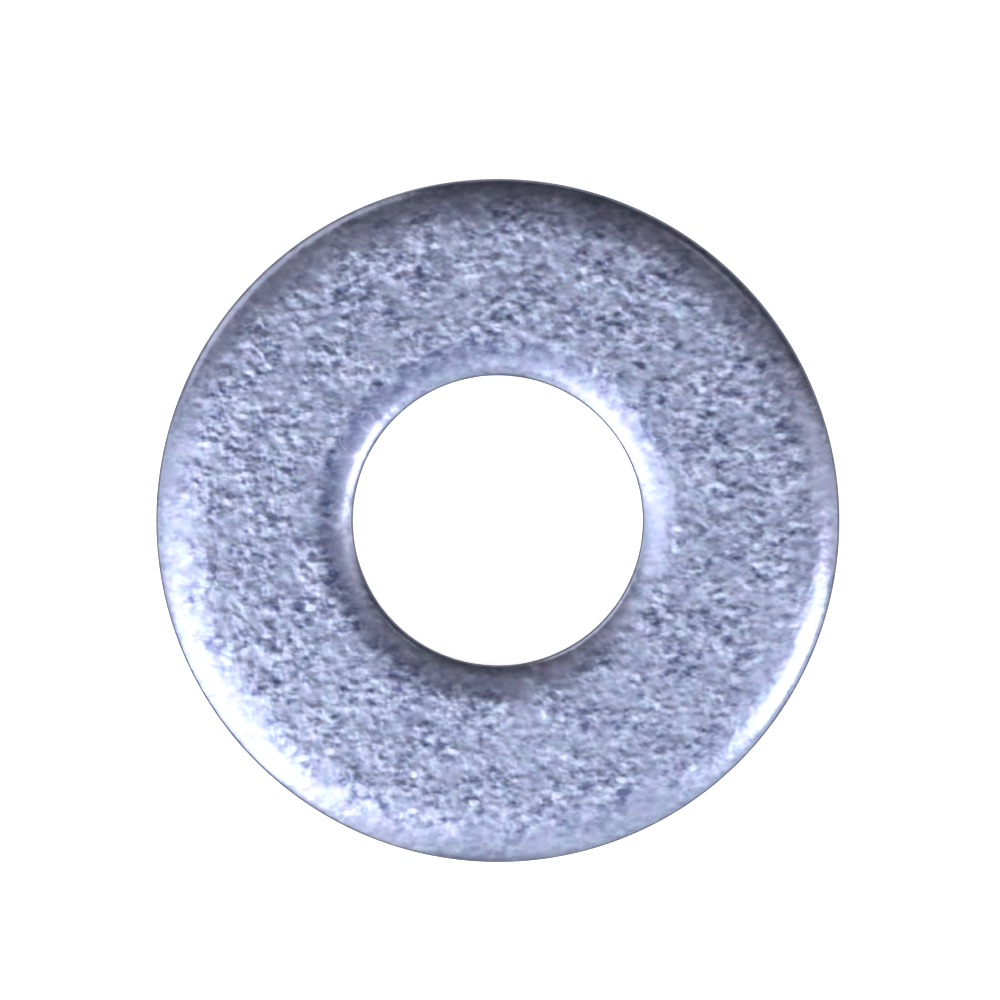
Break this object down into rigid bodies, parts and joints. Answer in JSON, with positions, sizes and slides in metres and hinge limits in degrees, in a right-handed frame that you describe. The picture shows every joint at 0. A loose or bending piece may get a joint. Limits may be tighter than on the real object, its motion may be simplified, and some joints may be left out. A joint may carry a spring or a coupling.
{
  "type": "flat washer",
  "caption": "Plain flat washer: a blanked steel ring, wide for its clearance hole, with a rolled edge on its upper face.",
  "frame": {"origin": "on the hole's axis, in the plane of the flat underside", "axes": "+Z along the hole's axis, out of the face whose edges are rolled; +X along the strip's rolling grain"},
  "size_m": [0.0186, 0.0186, 0.0017],
  "materials": {
    "zinc_plated_steel": "clear blue zinc plate over fine-grained cold rolled strip, satin"
  },
  "bodies": {
    "root": {"flat_washer": "zinc_plated_steel"}
  },
  "joints": []
}
